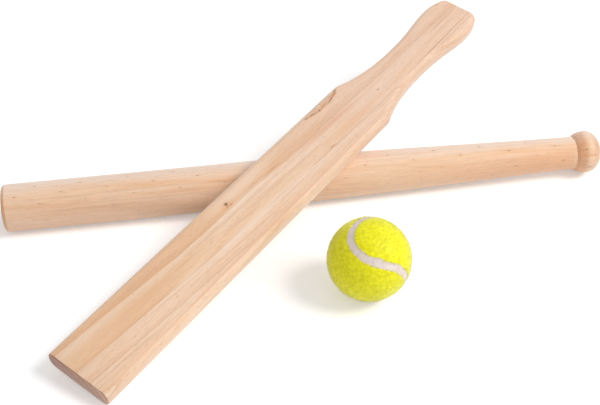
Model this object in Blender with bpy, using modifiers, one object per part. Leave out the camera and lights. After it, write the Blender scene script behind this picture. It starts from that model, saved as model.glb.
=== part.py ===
"""Rounders set: a flat bat lying across a round bat, with a felt ball beside them.

Metres, +Z up. The three loose things lie as they come to rest on a floor at Z = 0:
the round bat lies along its barrel, the flat bat leans over it with one corner of the
blade on the floor, and the ball stands by itself. The origin is the middle of the
set's box, on the floor.
"""
import math

import bmesh
import bpy
from mathutils import Euler, Matrix, Vector

# Flat bat: runs along its length, starting at the blade's end
BLADE_RUN = 0.3476
WAIST_RUN = 0.067
GRIP_RUN = 0.067
TAIL_RUN = 0.0228
BLADE_WIDTH = 0.0583
WAIST_WIDTH = 0.0372
GRIP_WIDTH = 0.0478
TAIL_WIDTH = 0.038
BOARD_THICKNESS = 0.016
BOARD_EDGE_ROUND = 0.0065
SHOULDER_SLOPE = math.radians(23)
TAIL_SLOPE = math.radians(26)

# How far each curve of the handle holds its direction, as a share of its run
SHOULDER_HOLD = 0.24
WAIST_HOLD_BEFORE = 0.45
WAIST_HOLD_AFTER = 0.52
GRIP_HOLD = 0.3
TAIL_HOLD = 0.35

# Round bat: runs along its axis, starting at the barrel's end
BARREL_RUN = 0.2664
TAPER_RUN = 0.2222
KNOB_RISE_RUN = 0.0113
KNOB_END_RUN = 0.0121
BARREL_RADIUS = 0.01965
NECK_RADIUS = 0.0142
KNOB_RADIUS = 0.0183
KNOB_END_FLAT_RADIUS = 0.0045
BARREL_END_ROUND = 0.0035
KNOB_RISE_ANGLE = math.radians(60)
TAPER_EASE = 0.4

# Ball
BALL_RADIUS = 0.0325
FELT_THICKNESS = 0.0028
FELT_EDGE_ROUND = 0.0012
FELT_EDGE_FALL = 0.0005
CORE_WALL = 0.0035
SEAM_WIDTH = 0.0058
SEAM_BELOW_FELT = 0.0008
SEAM_WAVE = 0.16

# How the three things lie
ROUND_BAT_YAW = math.radians(9.02)
CROSS_ON_ROUND_BAT = 0.2536
CROSS_ON_FLAT_BAT = 0.2703
CROSS_ANGLE = math.radians(43.95)
BALL_FROM_CROSS = (0.0464, -0.1157)
BALL_TURN = (math.radians(-105.7), math.radians(-27.6), math.radians(-60.9))

# Clearances
REST_GAP = 0.0003
GLUE_GAP = 0.0003
CORE_TO_FELT_GAP = 0.0005

# Facets
CURVE_STEPS = 8
EDGE_ROUND_STEPS = 5
TURNED_STEPS = 48
ARC_STEPS = 6
TAPER_STEPS = 10
SEAM_STEPS = 56
FELT_RINGS = 11
CORE_STEPS = 32
CORE_ARC_STEPS = 9

# Finishes: sRGB colour and roughness
PINE_BOARD = ("#e8c7a4", 0.55)
PINE_TURNED = ("#e3bd97", 0.5)
YELLOW_FELT = ("#e6e23c", 0.95)
SEAM_CEMENT = ("#d8c6cc", 0.7)
CORE_RUBBER = ("#3a3634", 0.8)

MERGE_DISTANCE = 1e-6
WELD_ANGLE = math.radians(0.1)
SMOOTH_ANGLE = math.radians(35)


def srgb_to_linear(hex_colour):
    """Linear RGBA from an sRGB hex colour."""
    def channel(start):
        value = int(hex_colour[start:start + 2], 16) / 255
        return value / 12.92 if value <= 0.04045 else ((value + 0.055) / 1.055) ** 2.4
    return (channel(1), channel(3), channel(5), 1.0)


def make_material(name, finish):
    """A Principled material of one colour and roughness."""
    colour, roughness = finish
    material = bpy.data.materials.new(name)
    material.use_nodes = True
    shader = material.node_tree.nodes["Principled BSDF"]
    shader.inputs["Base Color"].default_value = srgb_to_linear(colour)
    shader.inputs["Roughness"].default_value = roughness
    shader.inputs["Metallic"].default_value = 0.0
    return material


def add_object(name, data, collection, parent, material):
    """Link a named object under a parent empty and give it its material."""
    piece = bpy.data.objects.new(name, data)
    collection.objects.link(piece)
    piece.parent = parent
    data.materials.append(material)
    return piece


def add_empty(name, collection, parent, location):
    """An empty that carries pieces, placed in its parent's frame."""
    empty = bpy.data.objects.new(name, None)
    collection.objects.link(empty)
    empty.parent = parent
    empty.location = location
    return empty


def smooth(mesh):
    """Smooth shading, with the square edges kept sharp."""
    mesh.shade_smooth()
    mesh.set_sharp_from_angle(angle=SMOOTH_ANGLE)


def flat_bat_knots():
    """Knots of one long side, as (point, handle in, handle out), for the half at +Y."""
    shoulder_x = BLADE_RUN
    waist_x = shoulder_x + WAIST_RUN
    grip_x = waist_x + GRIP_RUN
    tail_x = grip_x + TAIL_RUN
    blade_end = Vector((0, BLADE_WIDTH / 2, 0))
    shoulder = Vector((shoulder_x, BLADE_WIDTH / 2, 0))
    waist = Vector((waist_x, WAIST_WIDTH / 2, 0))
    grip = Vector((grip_x, GRIP_WIDTH / 2, 0))
    tail = Vector((tail_x, TAIL_WIDTH / 2, 0))
    along = Vector((1, 0, 0))
    down_shoulder = Vector((1, -math.tan(SHOULDER_SLOPE), 0))
    down_tail = Vector((1, -math.tan(TAIL_SLOPE), 0))
    third = BLADE_RUN / 3
    return [
        (blade_end, blade_end * 2 / 3, blade_end + along * third),
        (shoulder, shoulder - along * third, shoulder + down_shoulder * SHOULDER_HOLD * WAIST_RUN),
        (waist, waist - along * WAIST_HOLD_BEFORE * WAIST_RUN, waist + along * WAIST_HOLD_AFTER * GRIP_RUN),
        (grip, grip - along * GRIP_HOLD * GRIP_RUN, grip + along * TAIL_HOLD * TAIL_RUN),
        (tail, tail - down_tail * TAIL_HOLD * TAIL_RUN, Vector((tail_x, TAIL_WIDTH / 6, 0))),
    ]


def make_flat_bat(collection, parent, material):
    """One board: outline extruded, long edges rounded, both ends cut square."""
    mirrored = Matrix.Diagonal((1, -1, 1))
    near_side = flat_bat_knots()
    far_side = [(mirrored @ p, mirrored @ after, mirrored @ before) for p, before, after in near_side]
    knots = near_side + far_side[::-1]

    outline = bpy.data.curves.new("flat_bat_outline", "CURVE")
    outline.dimensions = "2D"
    outline.fill_mode = "BOTH"
    outline.extrude = BOARD_THICKNESS / 2
    spline = outline.splines.new("BEZIER")
    spline.bezier_points.add(len(knots) - 1)
    spline.use_cyclic_u = True
    spline.resolution_u = CURVE_STEPS
    for bezier_point, (point, before, after) in zip(spline.bezier_points, knots):
        bezier_point.handle_left_type = "FREE"
        bezier_point.handle_right_type = "FREE"
        bezier_point.co = point
        bezier_point.handle_left = before
        bezier_point.handle_right = after
    curve = bpy.data.objects.new("flat_bat_outline", outline)
    collection.objects.link(curve)
    bpy.context.view_layer.update()
    evaluated = curve.evaluated_get(bpy.context.evaluated_depsgraph_get())
    mesh = bpy.data.meshes.new_from_object(evaluated)
    bpy.data.objects.remove(curve)
    mesh.name = "flat_bat"
    mesh.materials.clear()

    # Weld the caps on, merge flat faces, and mark the long edges for rounding
    body = bmesh.new()
    body.from_mesh(mesh)
    bmesh.ops.remove_doubles(body, verts=body.verts, dist=MERGE_DISTANCE)
    bmesh.ops.dissolve_limit(body, angle_limit=WELD_ANGLE, verts=body.verts, edges=body.edges)
    bmesh.ops.translate(body, verts=body.verts, vec=(0, 0, BOARD_THICKNESS / 2))
    bmesh.ops.recalc_face_normals(body, faces=body.faces)
    weight = body.edges.layers.float.new("bevel_weight_edge")
    for edge in body.edges:
        start, end = edge.verts
        is_level = abs(start.co.z - end.co.z) < MERGE_DISTANCE
        is_end_cut = abs(start.co.x - end.co.x) < MERGE_DISTANCE
        edge[weight] = 1.0 if is_level and not is_end_cut else 0.0
    body.to_mesh(mesh)
    body.free()

    piece = add_object("flat_bat", mesh, collection, parent, material)
    rounding = piece.modifiers.new("long_edges", "BEVEL")
    rounding.limit_method = "WEIGHT"
    rounding.width = BOARD_EDGE_ROUND
    rounding.segments = EDGE_ROUND_STEPS
    rounding.use_clamp_overlap = False
    smooth(mesh)
    return piece


def ellipse_arc(centre, along_radius, out_radius, start, end, steps):
    """Points (radius, height) of an elliptic arc; angle 0 is outwards, a quarter turn is up."""
    points = []
    for step in range(steps + 1):
        angle = start + (end - start) * step / steps
        radius = centre[0] + out_radius * math.cos(angle)
        height = centre[1] + along_radius * math.sin(angle)
        points.append((radius, height))
    return points


def turned_mesh(name, profile):
    """A mesh of one open line in the XZ plane, ready for a Screw modifier."""
    mesh = bpy.data.meshes.new(name)
    line = bmesh.new()
    verts = [line.verts.new((radius, 0, height)) for radius, height in profile]
    for start, end in zip(verts, verts[1:]):
        line.edges.new((start, end))
    line.to_mesh(mesh)
    line.free()
    return mesh


def add_screw(piece, steps):
    """Turn the profile once round its own Z axis into a closed body."""
    turning = piece.modifiers.new("turning", "SCREW")
    turning.angle = math.tau
    turning.steps = steps
    turning.render_steps = steps
    turning.screw_offset = 0
    turning.use_merge_vertices = True
    turning.merge_threshold = MERGE_DISTANCE
    turning.use_smooth_shade = True


def round_bat_profile():
    """The turned outline from the knob's end, at the top, down to the barrel's end."""
    taper_bottom = BARREL_RUN
    neck = taper_bottom + TAPER_RUN
    crest = neck + KNOB_RISE_RUN
    top = crest + KNOB_END_RUN
    quarter = math.pi / 2

    end_centre = (KNOB_END_FLAT_RADIUS, crest)
    end_out = KNOB_RADIUS - KNOB_END_FLAT_RADIUS
    profile = [(0, top)]
    profile += ellipse_arc(end_centre, KNOB_END_RUN, end_out, quarter, 0, ARC_STEPS)

    # The knob's inner side runs into the neck a little before its arc would close
    rise_out = (KNOB_RADIUS - NECK_RADIUS) / (1 - math.cos(KNOB_RISE_ANGLE))
    rise_along = KNOB_RISE_RUN / math.sin(KNOB_RISE_ANGLE)
    rise_centre = (KNOB_RADIUS - rise_out, crest)
    profile += ellipse_arc(rise_centre, rise_along, rise_out, 0, -KNOB_RISE_ANGLE, ARC_STEPS)[1:]

    # A nearly straight taper that eases out of the barrel and into the neck
    for step in range(1, TAPER_STEPS + 1):
        share = step / TAPER_STEPS
        eased = share * share * (3 - 2 * share)
        swell = share + (eased - share) * TAPER_EASE
        radius = NECK_RADIUS + (BARREL_RADIUS - NECK_RADIUS) * swell
        profile.append((radius, neck - TAPER_RUN * share))

    round_centre = (BARREL_RADIUS - BARREL_END_ROUND, BARREL_END_ROUND)
    profile += ellipse_arc(round_centre, BARREL_END_ROUND, BARREL_END_ROUND, 0, -quarter, ARC_STEPS)
    profile.append((0, 0))
    return profile


def make_round_bat(collection, parent, material):
    """One turned piece, laid with its axis along +X and its barrel's end at the parent."""
    mesh = turned_mesh("round_bat", round_bat_profile())
    piece = add_object("round_bat", mesh, collection, parent, material)
    add_screw(piece, TURNED_STEPS)
    piece.rotation_euler = Euler((0, math.pi / 2, 0))
    return piece


def seam_point(turn):
    """Unit direction of the seam's middle line, a wave that goes twice up and down the ball."""
    main = 1 - SEAM_WAVE
    return Vector((
        main * math.cos(turn) + SEAM_WAVE * math.cos(3 * turn),
        main * math.sin(turn) - SEAM_WAVE * math.sin(3 * turn),
        2 * math.sqrt(main * SEAM_WAVE) * math.sin(2 * turn),
    ))


def seam_side(turn):
    """Unit direction across the seam, towards the panel round +Z."""
    small = 1e-4
    along = seam_point(turn + small) - seam_point(turn - small)
    return seam_point(turn).cross(along).normalized()


def beside_seam(turn, offset):
    """Unit direction at an arc length on the ball's surface to one side of the seam."""
    angle = offset / BALL_RADIUS
    return seam_point(turn) * math.cos(angle) + seam_side(turn) * math.sin(angle)


def thicken_to_middle(body, inner_radius):
    """Close an open patch of the ball's surface into a wall whose sides run to the middle."""
    wall = bmesh.ops.extrude_face_region(body, geom=body.faces[:], use_keep_orig=True)
    for item in wall["geom"]:
        if isinstance(item, bmesh.types.BMVert):
            item.co = item.co.normalized() * inner_radius
    bmesh.ops.recalc_face_normals(body, faces=body.faces)


def make_felt_panel(name, pole, collection, parent, material):
    """A dumbbell of felt: half a ball whose rim is pulled along its meridians to the seam."""
    body = bmesh.new()
    bmesh.ops.create_uvsphere(body, u_segments=SEAM_STEPS, v_segments=2 * FELT_RINGS, radius=1)
    lower = [vert for vert in body.verts if vert.co.z < -MERGE_DISTANCE]
    bmesh.ops.delete(body, geom=lower, context="VERTS")
    up = Vector((0, 0, pole))
    for vert in body.verts:
        turn = math.atan2(vert.co.y, vert.co.x)
        ring = round(math.acos(max(-1, min(1, vert.co.z))) / (math.pi / 2) * FELT_RINGS)
        rim = beside_seam(turn * pole, pole * SEAM_WIDTH / 2)
        across = (rim - up * up.dot(rim)).normalized()
        arc = up.angle(rim)
        radius = BALL_RADIUS - FELT_EDGE_FALL
        if ring < FELT_RINGS:
            arc = (arc - FELT_EDGE_ROUND / BALL_RADIUS) * ring / (FELT_RINGS - 1)
            radius = BALL_RADIUS
        vert.co = (up * math.cos(arc) + across * math.sin(arc)) * radius
    thicken_to_middle(body, BALL_RADIUS - FELT_THICKNESS)
    mesh = bpy.data.meshes.new(name)
    body.to_mesh(mesh)
    body.free()
    smooth(mesh)
    return add_object(name, mesh, collection, parent, material)


def make_seam(collection, parent, material):
    """The closed strip of cement between the two felt panels, a little below their surface."""
    half_width = SEAM_WIDTH / 2 - GLUE_GAP
    radius = BALL_RADIUS - SEAM_BELOW_FELT
    body = bmesh.new()
    rows = []
    for step in range(SEAM_STEPS):
        turn = math.tau * step / SEAM_STEPS
        row = [body.verts.new(beside_seam(turn, side * half_width) * radius) for side in (-1, 0, 1)]
        rows.append(row)
    for row, following in zip(rows, rows[1:] + rows[:1]):
        for side in (0, 1):
            body.faces.new((row[side], following[side], following[side + 1], row[side + 1]))
    thicken_to_middle(body, BALL_RADIUS - FELT_THICKNESS)
    mesh = bpy.data.meshes.new("ball_seam")
    body.to_mesh(mesh)
    body.free()
    smooth(mesh)
    return add_object("ball_seam", mesh, collection, parent, material)


def make_core_half(name, is_upper, collection, parent, material):
    """One moulded rubber cup; the two meet rim to rim on the ball's middle plane."""
    outer = BALL_RADIUS - FELT_THICKNESS - CORE_TO_FELT_GAP
    inner = outer - CORE_WALL
    rim = GLUE_GAP / 2
    quarter = math.pi / 2
    outer_low = math.asin(rim / outer)
    inner_low = math.asin(rim / inner)
    profile = ellipse_arc((0, 0), outer, outer, quarter, outer_low, CORE_ARC_STEPS)
    profile += ellipse_arc((0, 0), inner, inner, inner_low, quarter, CORE_ARC_STEPS)
    piece = add_object(name, turned_mesh(name, profile), collection, parent, material)
    add_screw(piece, CORE_STEPS)
    if not is_upper:
        piece.rotation_euler = Euler((math.pi, 0, 0))
    return piece


def lean_angle():
    """Tilt of the flat bat about the round bat's axis.

    Its underside lies on the barrel along one line, and the rounded corner of the
    blade's end that is lowest just meets the floor.
    """
    flat_half = BLADE_WIDTH / 2 - BOARD_EDGE_ROUND
    down_slope = CROSS_ON_FLAT_BAT * math.sin(CROSS_ANGLE) + flat_half * math.cos(CROSS_ANGLE)

    def corner_height(tilt):
        sideways = math.cos(CROSS_ANGLE) * math.sin(tilt)
        line = BARREL_RADIUS + (BARREL_RADIUS + REST_GAP) * math.cos(tilt)
        round_centre = line - down_slope * math.sin(tilt) + BOARD_EDGE_ROUND * math.cos(tilt)
        return round_centre - BOARD_EDGE_ROUND * math.hypot(sideways, math.cos(tilt))

    low, high = 0.0, math.pi / 4
    for _ in range(60):
        middle = (low + high) / 2
        if corner_height(middle) > 0:
            low = middle
        else:
            high = middle
    return low


def lay_flat_bat(piece, lift, tilt):
    """Put the flat bat on the barrel, in the frame of the lift's empty at the crossing."""
    yaw = Matrix.Rotation(ROUND_BAT_YAW, 3, "Z")
    lean = Matrix.Rotation(tilt, 3, "X")
    turn = Matrix.Rotation(CROSS_ANGLE, 3, "Z")
    attitude = yaw @ lean @ turn
    normal = attitude @ Vector((0, 0, 1))
    contact = Vector((0, 0, BARREL_RADIUS)) + normal * (BARREL_RADIUS + REST_GAP)
    blade_end = contact - attitude @ Vector((CROSS_ON_FLAT_BAT, 0, 0))
    lift.location.z = contact.z
    piece.location = blade_end - Vector((0, 0, contact.z))
    piece.rotation_euler = attitude.to_euler()


def set_box(pieces):
    """Lowest and highest corner of the whole set, from the finished meshes."""
    bpy.context.view_layer.update()
    depsgraph = bpy.context.evaluated_depsgraph_get()
    corners = []
    for piece in pieces:
        evaluated = piece.evaluated_get(depsgraph)
        mesh = evaluated.to_mesh()
        corners += [evaluated.matrix_world @ vert.co for vert in mesh.vertices]
        evaluated.to_mesh_clear()
    low = Vector(min(corner[axis] for corner in corners) for axis in range(3))
    high = Vector(max(corner[axis] for corner in corners) for axis in range(3))
    return low, high


def main():
    for old in list(bpy.data.objects):
        bpy.data.objects.remove(old, do_unlink=True)
    collection = bpy.data.collections.new("rounders_set")
    bpy.context.scene.collection.children.link(collection)

    board = make_material("pine_board", PINE_BOARD)
    turned = make_material("pine_turned", PINE_TURNED)
    felt = make_material("yellow_felt", YELLOW_FELT)
    cement = make_material("seam_cement", SEAM_CEMENT)
    rubber = make_material("core_rubber", CORE_RUBBER)

    # Empties: the set's own, at the crossing on the floor, and one for each loose thing
    ground = add_empty("rounders_set", collection, None, (0, 0, 0))
    round_lie = add_empty("round_bat_lie", collection, ground, (0, 0, BARREL_RADIUS))
    flat_lift = add_empty("flat_bat_lift", collection, ground, (0, 0, 0))
    ball_lift = add_empty("ball_lift", collection, ground, (*BALL_FROM_CROSS, BALL_RADIUS))
    round_lie.rotation_euler = Euler((0, 0, ROUND_BAT_YAW))
    ball_lift.rotation_euler = Euler(BALL_TURN)

    round_bat = make_round_bat(collection, round_lie, turned)
    round_bat.location = (-CROSS_ON_ROUND_BAT, 0, 0)
    flat_bat = make_flat_bat(collection, flat_lift, board)
    lay_flat_bat(flat_bat, flat_lift, lean_angle())

    pieces = [
        round_bat,
        flat_bat,
        make_core_half("ball_core_half_a", True, collection, ball_lift, rubber),
        make_core_half("ball_core_half_b", False, collection, ball_lift, rubber),
        make_felt_panel("ball_felt_panel_a", 1, collection, ball_lift, felt),
        make_felt_panel("ball_felt_panel_b", -1, collection, ball_lift, felt),
        make_seam(collection, ball_lift, cement),
    ]

    low, high = set_box(pieces)
    ground.location = (-(low.x + high.x) / 2, -(low.y + high.y) / 2, -low.z)
    bpy.context.view_layer.update()


main()
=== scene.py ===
# %% [markdown]
# # A rounders set: two pine bats and a felt ball
#
# A flat bat lies across a turned round bat, and a yellow felt ball lies in front of them.
# The imported model gives the sizes, the places and the joints. This lesson gives it its looks:
# finely rounded wood with growth rings that run through each bat, and felt with a real nap.
#
# The frame is loaded first, and its box is kept, so that each new piece can be measured against it.
# The frame is loaded first, and its box is kept, because the finished set has to keep to it.

# %% Load the frame
import math

import bmesh
import bpy
import numpy as np
from mathutils import Euler, Matrix, Vector, noise
from mathutils.geometry import interpolate_bezier


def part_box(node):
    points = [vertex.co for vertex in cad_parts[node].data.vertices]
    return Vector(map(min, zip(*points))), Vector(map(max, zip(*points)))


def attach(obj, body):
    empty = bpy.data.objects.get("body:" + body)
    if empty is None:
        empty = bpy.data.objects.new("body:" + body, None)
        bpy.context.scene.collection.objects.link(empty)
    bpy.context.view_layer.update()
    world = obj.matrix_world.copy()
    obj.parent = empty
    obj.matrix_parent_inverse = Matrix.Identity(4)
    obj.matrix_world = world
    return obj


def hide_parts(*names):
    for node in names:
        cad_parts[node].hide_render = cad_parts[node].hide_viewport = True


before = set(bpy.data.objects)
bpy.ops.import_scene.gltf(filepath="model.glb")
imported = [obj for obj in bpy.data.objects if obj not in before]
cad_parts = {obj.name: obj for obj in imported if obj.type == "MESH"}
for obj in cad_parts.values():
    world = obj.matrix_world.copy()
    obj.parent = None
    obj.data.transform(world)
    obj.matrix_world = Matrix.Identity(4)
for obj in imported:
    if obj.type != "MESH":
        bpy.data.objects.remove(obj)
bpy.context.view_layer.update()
print("nodes:", sorted(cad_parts))

# %% [markdown]
# ## Colours and nodes
#
# Colours are picked as sRGB hex values, as on a paint chart, but shaders work in linear
# light. One function changes the first into the second.
#
# A material is a tree of nodes. Adding each node, setting it and linking it takes many lines,
# so one function does it for every kind of node and hands back the socket that comes out.
# A socket goes by its name, or by its number where several share a name, as on Math and Mix.

# %% Colour and node helpers
def linear(hex_colour):
    """Linear RGBA from an sRGB hex colour."""
    values = [int(hex_colour[start:start + 2], 16) / 255 for start in (1, 3, 5)]
    channels = [v / 12.92 if v <= 0.04045 else ((v + 0.055) / 1.055) ** 2.4 for v in values]
    return (*channels, 1.0)


def add_node(tree, kind, inputs=None, out=0, stops=None, **settings):
    """Add a node, set its properties, fill or link its inputs, and return one output socket."""
    node = tree.nodes.new("ShaderNode" + kind)
    for name, value in settings.items():
        setattr(node, name, value)
    for key, value in (inputs or {}).items():
        if isinstance(value, bpy.types.NodeSocket):
            tree.links.new(value, node.inputs[key])
        else:
            node.inputs[key].default_value = value
    if stops:
        ramp = node.color_ramp.elements
        while len(ramp) < len(stops):
            ramp.new(1.0)
        for element, (position, colour) in zip(ramp, stops):
            element.position = position
            element.color = linear(colour)
    return node.outputs[out] if node.outputs else None


def start_material(name):
    """A material with an empty node tree."""
    material = bpy.data.materials.new(name)
    material.use_nodes = True
    material.node_tree.nodes.clear()
    return material, material.node_tree


print("pine in linear light:", [round(channel, 3) for channel in linear("#eccaa8")])

# %% [markdown]
# ## Selecting, placing and measuring
#
# Blender's operators act on everything that is selected, so each step first clears the selection.
# The other helpers pick edges by a test, move a finished piece to its place, read and write all
# the points of a mesh at once, and measure a piece against the solid that it stands for.

# %% Selecting, placing and measuring
MM = 0.001


def deselect_all():
    """Leave nothing selected, so that the next operator acts only on what it adds."""
    bpy.ops.object.select_all(action="DESELECT")


def select_edges(piece, test):
    """In edit mode, select the edges that pass a test, and nothing else."""
    bpy.ops.mesh.select_mode(type="EDGE")
    bpy.ops.mesh.select_all(action="DESELECT")
    body = bmesh.from_edit_mesh(piece.data)
    for edge in body.edges:
        edge.select_set(test(edge))
    bmesh.update_edit_mesh(piece.data)


def lay_in_place(piece, place):
    """Move a finished piece to its place and keep that place in its mesh."""
    deselect_all()
    piece.select_set(True)
    bpy.context.view_layer.objects.active = piece
    piece.matrix_world = place
    bpy.ops.object.transform_apply(location=True, rotation=True, scale=True)


def read_points(piece):
    """All points of a piece's mesh, one row each."""
    values = np.empty(len(piece.data.vertices) * 3)
    piece.data.vertices.foreach_get("co", values)
    return values.reshape(-1, 3)


def write_points(piece, points):
    """Move all points of a piece's mesh."""
    piece.data.vertices.foreach_set("co", points.ravel())
    piece.data.update()


def say(piece, node):
    """Print a piece's triangles and how far its box departs from its CAD node's, in millimetres."""
    triangles = sum(len(polygon.vertices) - 2 for polygon in piece.data.polygons)
    low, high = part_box(node)
    points = read_points(piece)
    apart = np.concatenate((points.min(axis=0) - low, points.max(axis=0) - high)) / MM
    print(f"{piece.name}: {triangles} triangles, box off by {np.round(apart, 2)} mm")


# %% [markdown]
# ## The camera
#
# The picture is 600 by 405 pixels. The outlines of the ball and the bats fix the camera:
# it looks along +Y and down by about 39 degrees, from nearly a metre away.
# A focal length in pixels becomes a lens in millimetres by the sensor's width.
# A pixel's value belongs to its middle, so the aim moves by half a pixel.

# %% Camera
QUARTER_TURN = math.pi / 2
PICTURE_WIDTH = 600
SENSOR_WIDTH = 36.0
FOCAL_PIXELS = 1095.75
LOOK_DOWN = math.radians(39.355)
CAMERA_DISTANCE = 0.93893
AIM = Vector((-0.007515, 0.01376, 0.0))

back = Vector((0, -math.cos(LOOK_DOWN), math.sin(LOOK_DOWN)))
picture_up = Vector((0, math.sin(LOOK_DOWN), math.cos(LOOK_DOWN)))
half_pixel = 0.5 * CAMERA_DISTANCE / FOCAL_PIXELS
aim = AIM + half_pixel * (picture_up - Vector((1, 0, 0)))
deselect_all()
bpy.ops.object.camera_add(
    location=aim + back * CAMERA_DISTANCE,
    rotation=(QUARTER_TURN - LOOK_DOWN, 0, 0),
)
camera = bpy.context.object
camera.data.sensor_width = SENSOR_WIDTH
camera.data.lens = FOCAL_PIXELS * SENSOR_WIDTH / PICTURE_WIDTH
bpy.context.scene.camera = camera
bpy.context.scene.view_settings.view_transform = "Standard"
print(f"lens {camera.data.lens:.2f} mm")

# %% [markdown]
# ## Floor and light
#
# The set lies on white paper under one large soft lamp at the right, which is why the flat bat
# throws its shadow on the round bat to the left of the crossing. White surroundings fill the rest.
# The paper could be lit until it is white, but then the wood would burn out. Instead the paper and
# the surroundings are shown brighter to rays that see them directly, from the camera or by a
# reflection, than the light that they cast. The paper still shows the shadow.

# %% White paper
FLOOR_SIZE = 30.0
FLOOR_DROP = 0.0001
PAPER_GLOW = 0.28


def seen_directly(tree):
    """1 for a ray from the camera, from a gloss or through glass, and 0 for scattered light."""
    rays = add_node(tree, "LightPath").node.outputs
    mirrored = add_node(tree, "Math", {
        0: rays["Is Glossy Ray"], 1: rays["Is Transmission Ray"],
    }, operation="MAXIMUM")
    return add_node(tree, "Math", {0: rays["Is Camera Ray"], 1: mirrored}, operation="MAXIMUM")


deselect_all()
bpy.ops.mesh.primitive_plane_add(size=FLOOR_SIZE, location=(0, 0, -FLOOR_DROP))
floor = bpy.context.object
floor.name = "floor"

paper, tree = start_material("white_paper")
white = add_node(tree, "BsdfDiffuse", {"Color": linear("#fafafa")})
strength = add_node(tree, "Math", {0: seen_directly(tree), 1: PAPER_GLOW}, operation="MULTIPLY")
glow = add_node(tree, "Emission", {"Color": linear("#ffffff"), "Strength": strength})
lifted = add_node(tree, "AddShader", {0: white, 1: glow})
add_node(tree, "OutputMaterial", {"Surface": lifted})
floor.data.materials.append(paper)
print(f"paper {FLOOR_SIZE:.0f} m wide")

# %% Surroundings and softbox
SURROUND_STRENGTH = 0.53
BACKDROP_STRENGTH = 1.0
SOFTBOX_PLACE = Vector((2.04, -0.43, 2.24))
SOFTBOX_SIZE = 1.5
SOFTBOX_WATTS = 60.5

world = bpy.data.worlds.new("white_surroundings")
bpy.context.scene.world = world
world.use_nodes = True
tree = world.node_tree
tree.nodes.clear()
light, shown = [
    add_node(tree, "Background", {"Color": linear("#ffffff"), "Strength": strength})
    for strength in (SURROUND_STRENGTH, BACKDROP_STRENGTH)
]
around = add_node(tree, "MixShader", {0: seen_directly(tree), 1: light, 2: shown})
add_node(tree, "OutputWorld", {"Surface": around})

deselect_all()
bpy.ops.object.light_add(type="AREA", location=SOFTBOX_PLACE)
softbox = bpy.context.object
softbox.name = "softbox"
softbox.data.shape = "DISK"
softbox.data.size = SOFTBOX_SIZE
softbox.data.energy = SOFTBOX_WATTS
softbox.rotation_euler = SOFTBOX_PLACE.to_track_quat("Z", "Y").to_euler()
print(f"softbox {SOFTBOX_PLACE.length:.2f} m away, {SOFTBOX_SIZE} m wide")

# %% [markdown]
# ## How the three things lie
#
# Each bat has its own frame: X runs along it, Z points up out of it. The round bat is turned a
# little on the floor. The flat bat crosses it, leaning on the barrel with one corner on the floor.
# The same turns place the finished meshes and, later, turn the wood's growth rings with them.

# %% Places of the bats and the ball
CROSSING = Vector((-0.001521, 0.022519, 0.0))
ROUND_BAT_YAW = math.radians(9.02)
FLAT_BAT_LEAN = math.radians(11.074)
CROSS_ANGLE = math.radians(43.95)
CROSS_ON_ROUND_BAT = 0.2536
CROSS_ON_FLAT_BAT = 0.2703
BARREL_RADIUS = 0.01965
REST_GAP = 0.0003
BALL_RADIUS = 0.0325
BALL_FROM_CROSS = Vector((0.0464, -0.1157, BALL_RADIUS))
BALL_TURN = Euler((math.radians(-105.7), math.radians(-27.6), math.radians(-60.9)))

barrel_axis = CROSSING + Vector((0, 0, BARREL_RADIUS))
yaw = Matrix.Rotation(ROUND_BAT_YAW, 4, "Z")
to_barrel_end = Matrix.Translation((-CROSS_ON_ROUND_BAT, 0, 0))
round_place = Matrix.Translation(barrel_axis) @ yaw @ to_barrel_end
attitude = yaw @ Matrix.Rotation(FLAT_BAT_LEAN, 4, "X") @ Matrix.Rotation(CROSS_ANGLE, 4, "Z")
board_up = attitude @ Vector((0, 0, 1))
contact = barrel_axis + board_up * (BARREL_RADIUS + REST_GAP)
to_blade_end = Matrix.Translation((-CROSS_ON_FLAT_BAT, 0, 0))
flat_place = Matrix.Translation(contact) @ attitude @ to_blade_end
ball_place = Matrix.Translation(CROSSING + BALL_FROM_CROSS) @ BALL_TURN.to_matrix().to_4x4()
print("flat bat's end at", [round(value, 4) for value in flat_place.translation])

# %% [markdown]
# ## The flat bat's shape: one board
#
# The real bat is a planed board, sawn to its outline, with its long edges rounded by a router
# and both ends cut square. A curve could be extruded for it, but then the faces would be long
# and uneven. Here the board's end is drawn as a rectangle and pulled along the bat, station by
# station, and made wider or narrower at each, so that the faces stay tidy. Then the long edges
# and the cut ends are bevelled, in the order in which a workshop does it.

# %% Outline of one long side
BLADE_RUN = 0.3476
WAIST_RUN = 0.067
GRIP_RUN = 0.067
TAIL_RUN = 0.0228
BLADE_WIDTH = 0.0583
WAIST_WIDTH = 0.0372
GRIP_WIDTH = 0.0478
TAIL_WIDTH = 0.038
BOARD_THICKNESS = 0.016
SHOULDER_SLOPE = math.tan(math.radians(23))
TAIL_SLOPE = math.tan(math.radians(26))
SHOULDER_HOLD = 0.24
WAIST_HOLD_BEFORE = 0.45
WAIST_HOLD_AFTER = 0.52
GRIP_HOLD = 0.3
TAIL_HOLD = 0.35
SHOULDER_ROUND = 0.004
SHOULDER_STEPS = 5
BLADE_STEPS = 12
HANDLE_STEPS = 18

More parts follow.
